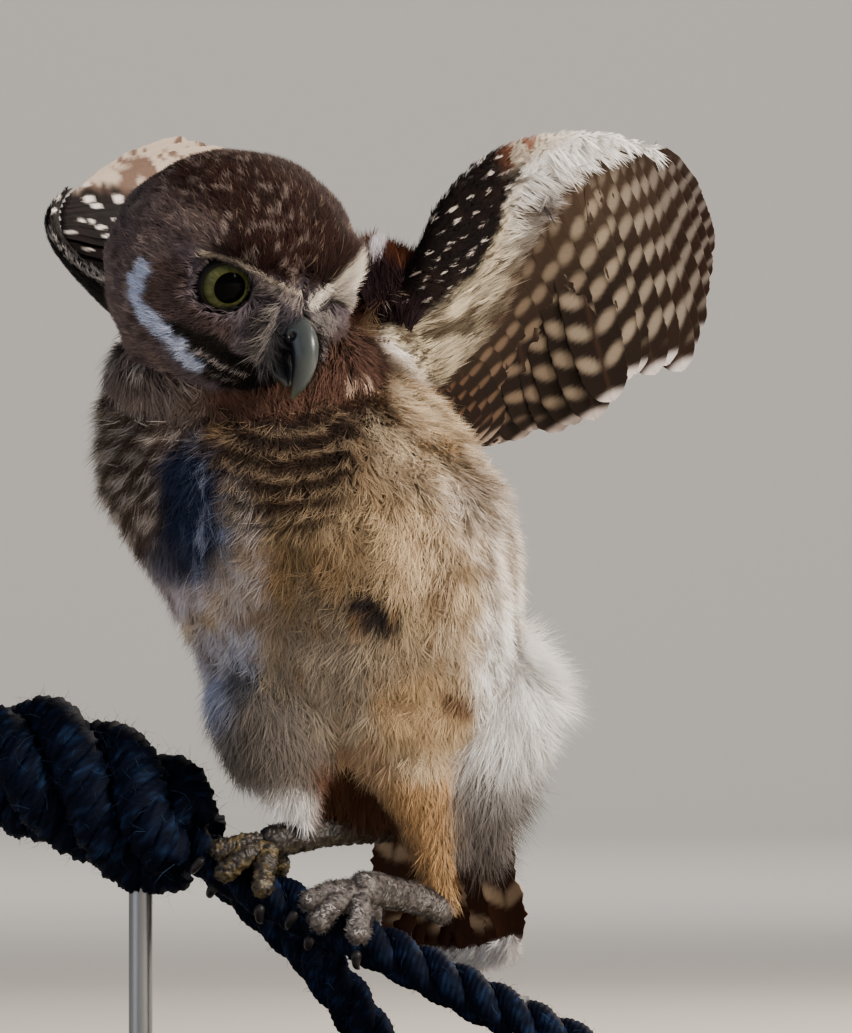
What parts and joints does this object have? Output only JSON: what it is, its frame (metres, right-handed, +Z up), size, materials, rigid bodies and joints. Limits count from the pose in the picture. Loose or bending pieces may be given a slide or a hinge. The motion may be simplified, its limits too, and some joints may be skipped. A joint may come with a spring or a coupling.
{
  "type": "burrowing owl model",
  "caption": "Life-size still model of a young burrowing owl gripping a short rope perch, wings half raised and head turned, held on a plain display stand.",
  "frame": {"origin": "middle of the underside of the stand's base, on the surface that it rests on", "axes": "+Z up; +X along the base, towards the owl's raised left wing; +Y to the back, away from the side that the picture was taken from"},
  "size_m": [0.19, 0.1596, 0.2567],
  "materials": {
    "eye": "glossy, clear cornea over a yellow-green iris",
    "lid_skin": "bare black skin",
    "bill_horn": "satin horn, greenish on the ridge",
    "claw_horn": "satin dark horn",
    "foot_skin": "matte, scaled and bristly",
    "rope": "matte laid rope of navy fibre",
    "base_wood": "satin, stained near black",
    "rod_steel": "brushed",
    "flight_feathers": "matte brown with pale bars",
    "head_feathers": "matte dark brown with pale streaks",
    "white_down": "matte, downy",
    "body_feathers": "matte buff"
  },
  "bodies": {
    "root": {"bill_lower": "bill_horn", "bill_upper": "bill_horn", "claw_hind_left": "claw_horn", "claw_hind_right": "claw_horn", "claw_inner_left": "claw_horn", "claw_inner_right": "claw_horn", "claw_middle_left": "claw_horn", "claw_middle_right": "claw_horn", "claw_outer_left": "claw_horn", "claw_outer_right": "claw_horn", "eye_left": "eye", "eye_right": "eye", "head": "head_feathers", "lid_lower_left": "lid_skin", "lid_lower_right": "lid_skin", "lid_upper_left": "lid_skin", "lid_upper_right": "lid_skin", "neck": "head_feathers", "perch_knot": "rope", "perch_rope": "rope", "perch_strand": "rope", "stand_base": "base_wood", "stand_rod_left": "rod_steel", "stand_rod_right": "rod_steel", "tail": "flight_feathers", "tarsus_left": "foot_skin", "tarsus_right": "foot_skin", "thigh_left": "body_feathers", "thigh_right": "white_down", "toe_hind_left": "foot_skin", "toe_hind_right": "foot_skin", "toe_inner_left": "foot_skin", "toe_inner_right": "foot_skin", "toe_middle_left": "foot_skin", "toe_middle_right": "foot_skin", "toe_outer_left": "foot_skin", "toe_outer_right": "foot_skin", "torso": "body_feathers", "vent": "white_down", "wing_left": "flight_feathers", "wing_right": "flight_feathers"}
  },
  "joints": []
}
